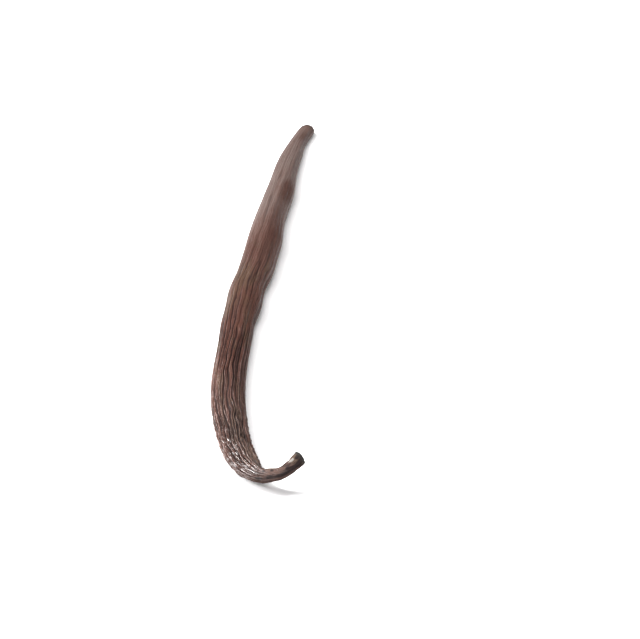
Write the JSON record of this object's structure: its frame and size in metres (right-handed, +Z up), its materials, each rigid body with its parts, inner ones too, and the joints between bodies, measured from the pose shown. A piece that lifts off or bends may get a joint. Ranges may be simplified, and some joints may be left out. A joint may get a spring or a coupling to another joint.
{
  "type": "vanilla pod",
  "caption": "Long slender wrinkled vanilla pod lying flat, with a hooked stalk end that rises and a blunt tapered tip.",
  "frame": {"origin": "under the middle of the pod's outline, on the surface it lies on", "axes": "+Y along the pod from its hooked stalk end to its tip, +X to the side that the stalk hooks towards, +Z up"},
  "size_m": [0.0278, 0.1712, 0.0109],
  "materials": {
    "pod_skin": "oily, wrinkled dark brown skin with a soft sheen"
  },
  "bodies": {
    "root": {"pod": "pod_skin"}
  },
  "joints": []
}
